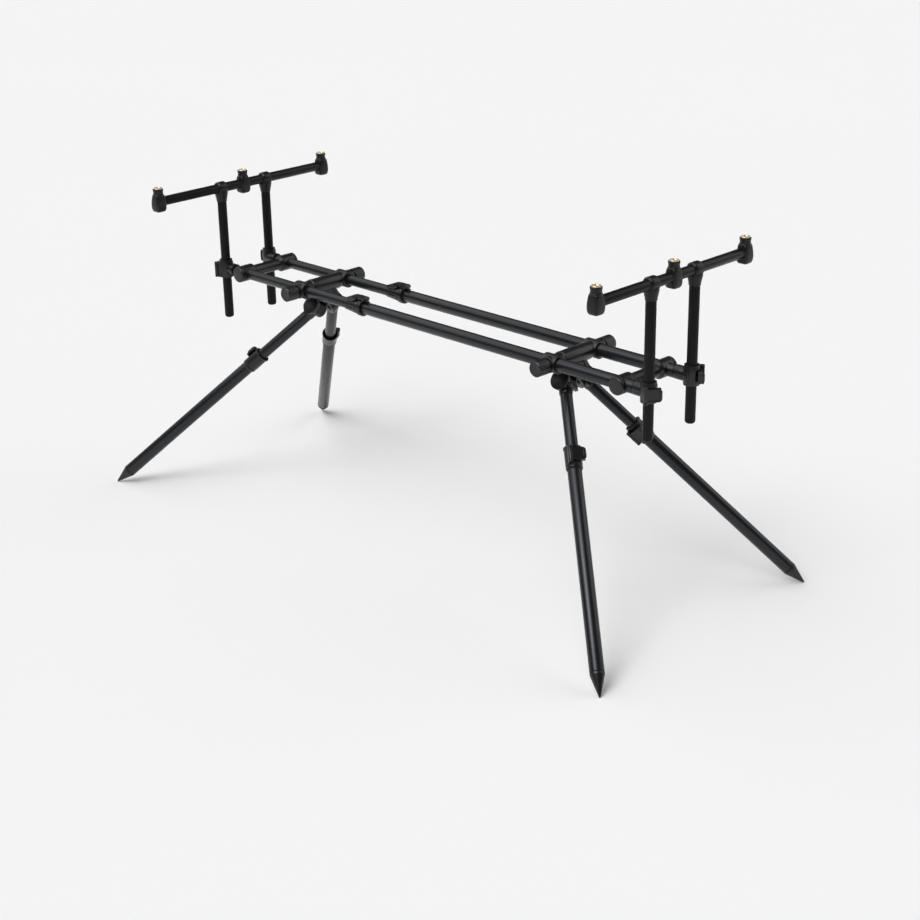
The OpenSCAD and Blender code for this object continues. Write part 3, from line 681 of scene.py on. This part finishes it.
def leg_collar(node, place, clasp):
    """A clamp collar with a flared mouth, a groove near its lower end and two lugs for the lever."""
    low, high = reach(node, place)
    mouth, end = low.z, high.z
    guide, bore, groove = COLLAR_GUIDE_R, COLLAR_BORE_R, COLLAR_R - COLLAR_GROOVE
    upper, floor_from, floor_to, lower = [end - step for step in COLLAR_GROOVE_STEPS]
    body = [(guide, mouth + COLLAR_FUNNEL), (COLLAR_MOUTH_R, mouth), (COLLAR_RIM_R, mouth),
            (COLLAR_RIM_R, mouth + COLLAR_RIM), (COLLAR_R, mouth + COLLAR_RIM_STEP), (COLLAR_R, upper),
            (groove, floor_from), (groove, floor_to), (COLLAR_R, lower), (COLLAR_R, end - COLLAR_CHAMFER),
            (groove, end), (bore, end), (bore, mouth + COLLAR_GUIDE), (guide, mouth + COLLAR_GUIDE)]
    tip_x = COLLAR_R + LEVER_GAP + LEVER_T / 2 + LEVER_KNUCKLE_R
    near, far = LEVER_BACK - LEVER_KNUCKLE_R, LEVER_BACK + LEVER_KNUCKLE_R
    outline = [(LUG_ROOT_NEAR, near), (tip_x, near), (tip_x, far), (LUG_ROOT_FAR, far)]
    start = LEVER_H / 2 + SIDE_GAP
    lugs = [slab(outline, z, z + LUG_T, LUG_CORNER, (1, 2), 0.6) for z in (start, -start - LUG_T)]
    fixed = [placed(shell, clasp) for shell in lugs + [clasp_web(COLLAR_R)]]
    piece(node, MOULD, placed(lathe(body, 0.3, closed=True), place), *fixed)


def spike(node, place):
    """A turned point on the lower tube, with a thin groove at its shoulder."""
    low, high = reach(node, place)
    r, end = high.x, high.z
    cone = end - SPIKE_CONE
    shoulder = cone - SPIKE_SHOULDER + SPIKE_GROOVE
    inner = r - TUBE_WALL
    profile = [(0, low.z), (inner, low.z), (inner, shoulder), (r, shoulder), (r, cone),
               (TIP_R, end - TIP_R), (0.7 * TIP_R, end - 0.3 * TIP_R), (0, end)]
    piece(node, MOULD, placed(lathe(profile, 0.35), place))


def leg(end, side):
    name = f"{end}_{side}_"
    place, clasp = leg_place(end, side), leg_clasp(end, side)
    piece(name + "leg_head", MOULD, eased_copy(name + "leg_head", 0.3, place))
    tube(name + "upper_tube", place, SATIN)
    tube(name + "lower_tube", place, SATIN)
    leg_collar(name + "leg_collar", place, clasp)
    lever(name + "leg_lever", clasp, COLLAR_R, pegs=True)
    spike(name + "spike", place)


# Posts, bars and rest heads

def posts(end):
    """Posts with a closed, rounded foot."""
    node = f"{end}_posts"
    low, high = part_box(node)
    r, foot, top = (high.x - low.x) / 2 / MM, low.z / MM, high.z / MM
    turns = [math.radians(15 * step) for step in range(7)]
    rounding = [(r - FOOT_ROUND * (1 - math.sin(t)), foot + FOOT_ROUND * (1 - math.cos(t))) for t in turns]
    inner = r - TUBE_WALL
    profile = [(0, foot)] + rounding + [(r, top), (inner, top), (inner, foot + FOOT_T), (0, foot + FOOT_T)]
    piece(node, MATT, *[placed(lathe(profile, 0.15), facing(post_axis(end, side), Z)) for side in SIDES])


def bar_sleeves(end):
    """T-shaped sleeves: a short ring with round shoulders, and a neck that draws in to the post."""
    node = f"{end}_bar_sleeves"
    _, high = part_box(node)
    post_r = (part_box(f"{end}_posts")[1].x - post_axis(end, "left").x) / MM
    bore, half, low, lip = post_r + BORE_GAP, SLEEVE_LEN / 2, -SLEEVE_NECK, post_r + SLEEVE_LIP
    rim, shoulder = bore + SLEEVE_RIM, half - SLEEVE_SHOULDER
    ring = [(bore, -half), (rim, -half), (SLEEVE_R, -shoulder), (SLEEVE_R, shoulder),
            (rim, half), (bore, half)]
    neck = [(bore, low), (lip, low), (lip + SLEEVE_LIP_SLOPE, low + SLEEVE_LIP_H),
            (SLEEVE_R + SLEEVE_BULGE, -lip), (SLEEVE_R, -post_r / 2), (bore, -post_r / 2)]
    shells = []
    for side in SIDES:
        at = post_axis(end, side)
        at.z = high.z - SLEEVE_R * MM
        shells.append(placed(lathe(ring, 1.2, closed=True), crosswise(at)))
        shells.append(placed(lathe(neck, 0.5, closed=True), facing(at, Z)))
    piece(node, DULL_MOULD, *shells)


def head_spots(end):
    """Where the bar runs through the middle of each rest head."""
    low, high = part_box(f"{end}_rest_heads")
    half = (high.x - low.x) / 2
    z = low.z + HEAD_DROP * MM
    return [Vector((low.x + half, y, z)) for y in (low.y + half, (low.y + high.y) / 2, high.y - half)]


def rest_heads(end):
    """Bottle-shaped heads: a rounded square body that narrows to its shoulder, and a round neck."""
    node = f"{end}_rest_heads"
    low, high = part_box(node)
    width = (high.x - low.x) / MM
    root, waist, bore = HEAD_NECK_R + HEAD_ROOT, HEAD_NECK_R - HEAD_WAIST, INSERT_R + BORE_GAP
    sunk = HEAD_SHOULDER - HEAD_ROOT_SINK
    neck = [(0, sunk), (root, sunk), (root, HEAD_SHOULDER + HEAD_ROOT_H),
            (waist, HEAD_SHOULDER + HEAD_WAIST_FROM), (waist, HEAD_TOP - HEAD_WAIST_TO),
            (HEAD_NECK_R, HEAD_TOP - HEAD_LIP), (HEAD_NECK_R, HEAD_TOP), (bore, HEAD_TOP),
            (bore, HEAD_SHOULDER), (0, HEAD_SHOULDER)]
    shells = []
    for spot in head_spots(end):
        place = upright(spot)
        bm = bmesh.new()
        bmesh.ops.create_cube(bm, size=MM)
        bmesh.ops.scale(bm, vec=(width, width, HEAD_DROP + HEAD_SHOULDER), verts=bm.verts)
        bmesh.ops.translate(bm, vec=Z * (HEAD_SHOULDER - HEAD_DROP) / 2 * MM, verts=bm.verts)
        uprights = [e for e in bm.edges if abs(e.verts[0].co.z - e.verts[1].co.z) > MM]
        bmesh.ops.bevel(bm, geom=uprights, offset=HEAD_CORNER * MM, offset_type="OFFSET", segments=5,
                        profile=0.5, affect="EDGES", material=-1, clamp_overlap=True)
        for level in HEAD_LEVELS:
            bmesh.ops.bisect_plane(bm, geom=bm.verts[:] + bm.edges[:] + bm.faces[:], dist=ON_PLANE,
                                   plane_co=Z * level * MM, plane_no=Z)
        for level, factor in HEAD_LEVELS.items():
            ring = [v for v in bm.verts if abs(v.co.z - level * MM) < SAME_LEVEL]
            bmesh.ops.scale(bm, vec=(factor, factor, 1), verts=ring)
        ease(bm, 0.5, 3)
        shells.append(placed(bm, place))
        shells.append(placed(lathe(neck, 0.3), place))
    piece(node, DULL_MOULD, *shells)


def brass_inserts(end):
    """Turned brass inserts with a chamfered flange and a real thread in the bore."""
    node = f"{end}_brass_inserts"
    low = reach(node, upright(head_spots(end)[0]))[0].z
    top = HEAD_TOP + INSERT_FLANGE_T
    flange, bore, floor_z = INSERT_FLANGE_R, INSERT_BORE_R, low + INSERT_FLOOR
    body = [(0, low), (INSERT_R, low), (INSERT_R, HEAD_TOP), (flange, HEAD_TOP),
            (flange, top - INSERT_CHAMFER), (flange - INSERT_CHAMFER, top), (bore + INSERT_LEAD, top),
            (bore, top - INSERT_LEAD), (bore, floor_z), (0, floor_z)]
    shells = []
    for spot in head_spots(end):
        place = upright(spot)
        shells.append(placed(lathe(body, 0.15), place))
        shells.append(placed(thread(low + THREAD_FROM, top - THREAD_TO), place))
    piece(node, BRASS, *shells)


def thread(low, high):
    """A helical ridge on the wall of the bore."""
    turns = int((high - low) / THREAD_PITCH)
    half = THREAD_PITCH * THREAD_HALF
    bm = bmesh.new()
    root, crest = INSERT_BORE_R + THREAD_ROOT, INSERT_BORE_R - THREAD_DEPTH
    ridge = [(root, -half), (crest, 0), (root, half)]
    verts = [bm.verts.new((r * MM, 0, (low + half + z) * MM)) for r, z in ridge]
    edges = [bm.edges.new(pair) for pair in zip(verts, verts[1:])]
    bmesh.ops.spin(bm, geom=verts + edges, axis=Z, cent=(0, 0, 0), angle=2 * math.pi * turns,
                   steps=THREAD_STEPS * turns, dvec=Z * THREAD_PITCH / THREAD_STEPS * MM)
    bmesh.ops.recalc_face_normals(bm, faces=bm.faces)
    return bm


# The whole pod

for side in SIDES:
    for kind in ("outer", "inner"):
        rail = f"{kind}_rail_{side}"
        tube(rail, lengthwise(centre(rail)), SATIN)
    grip = f"rail_lever_{side}"
    piece(grip, MOULD, eased_copy(grip, RAIL_LEVER_EASE, upright(centre(grip)), RAIL_LEVER_CROWN))
piece("rail_clamps", MOULD, eased_copy("rail_clamps", EASE, lengthwise(centre("rail_clamps"))))
for end in ENDS:
    end_bar(f"{end}_end_bar")
    block = f"{end}_leg_block"
    piece(block, MOULD, eased_copy(block, EASE, crosswise(centre(block))))
    post_clamps(end)
    lever_pins(end)
    hinge_pins(end)
    posts(end)
    tube(f"{end}_buzz_bar", crosswise(centre(f"{end}_buzz_bar")), GLOSS)
    bar_sleeves(end)
    rest_heads(end)
    brass_inserts(end)
    for side in SIDES:
        knob(f"{end}_knob_{side}", side)
        lever(f"{end}_post_lever_{side}", post_clasp(end, side), POST_CLAMP_R, pegs=False)
        leg(end, side)


# Stage

FLOOR_HALF = 300.0
FLOOR_GREY = 0.90
ROOM_LEVEL = 0.10
CAMERA_AT = Vector((1.9671, -1.9066, 1.2437))
CAMERA_RIGHT = Vector((0.71163, 0.70236, -0.01635))
CAMERA_BACK = Vector((0.65470, -0.65455, 0.37806))
SENSOR_WIDTH = 36.0
FOCAL_LENGTH = 68.89
KEY = Vector((0.02, -0.655, 0.755)).normalized().freeze()
KEY_BOX = Vector((-0.04, -0.56, 0.83)).normalized().freeze()
FAR_BOX = Vector((-0.66, -0.12, 0.74)).normalized().freeze()
BACK_BOX = Vector((0.42, 0.74, 0.53)).normalized().freeze()


def floor_finish():
    sh = Shader(bpy.data.materials.new("pale_floor"))
    place = sh.node("ShaderNodeTexCoord", output="Object")
    cloud = sh.noise(place, 0.7, 2.0)
    return sh.surface(base_color=sh.mixed(cloud, grey(FLOOR_GREY - 0.004), grey(FLOOR_GREY + 0.004)),
                      roughness=0.9 + 0.05 * cloud, specular_ior_level=0.0)


def floor():
    bm = bmesh.new()
    bmesh.ops.create_grid(bm, x_segments=1, y_segments=1, size=FLOOR_HALF)
    mesh = bpy.data.meshes.new("floor")
    bm.to_mesh(mesh)
    bm.free()
    mesh.materials.append(floor_finish())
    made = bpy.data.objects.new("floor", mesh)
    bpy.context.scene.collection.objects.link(made)


def camera():
    """The photograph's view: from the front left, a little above, with a slight roll."""
    lens = bpy.data.cameras.new("camera")
    lens.sensor_width = SENSOR_WIDTH
    lens.lens = FOCAL_LENGTH
    made = bpy.data.objects.new("camera", lens)
    made.matrix_world = axes(CAMERA_AT, CAMERA_RIGHT, CAMERA_BACK.cross(CAMERA_RIGHT), CAMERA_BACK)
    bpy.context.scene.collection.objects.link(made)
    bpy.context.scene.camera = made


def window(name, towards, strength, spread):
    """A far soft light that shines from the given direction."""
    lamp = bpy.data.lights.new(name, "SUN")
    lamp.energy = strength
    lamp.angle = math.radians(spread)
    made = bpy.data.objects.new(name, lamp)
    made.matrix_world = Matrix.LocRotScale(towards * 3, towards.to_track_quat("Z", "Y"), None)
    bpy.context.scene.collection.objects.link(made)


def soft_box(sh, direction, towards, half_angle):
    """A round patch of light in the surroundings that fades out at its rim."""
    nearness = sh.node("ShaderNodeVectorMath", {"operation": "DOT_PRODUCT"},
                       {0: direction, 1: towards}, "Value")
    rim, core = math.radians(half_angle), math.radians(0.5 * half_angle)
    return sh.spread(nearness, math.cos(rim), math.cos(core))


def studio():
    scene = bpy.context.scene
    scene.view_settings.view_transform = "Standard"
    world = bpy.data.worlds.new("studio")
    scene.world = world
    sh = Shader(world)
    direction = sh.node("ShaderNodeTexCoord", output="Generated")
    # Strength and half angle of each soft box
    boxes = {KEY_BOX: (2.0, 34), FAR_BOX: (1.1, 40), BACK_BOX: (1.2, 32)}
    level = ROOM_LEVEL + sum(strength * soft_box(sh, direction, towards, half)
                             for towards, (strength, half) in boxes.items())
    room = sh.node("ShaderNodeBackground", inputs={"Color": grey(1.0), "Strength": level})
    sh.node("ShaderNodeOutputWorld", inputs={"Surface": room})
    window("key_window", KEY, strength=1.0, spread=30)


floor()
camera()
studio()
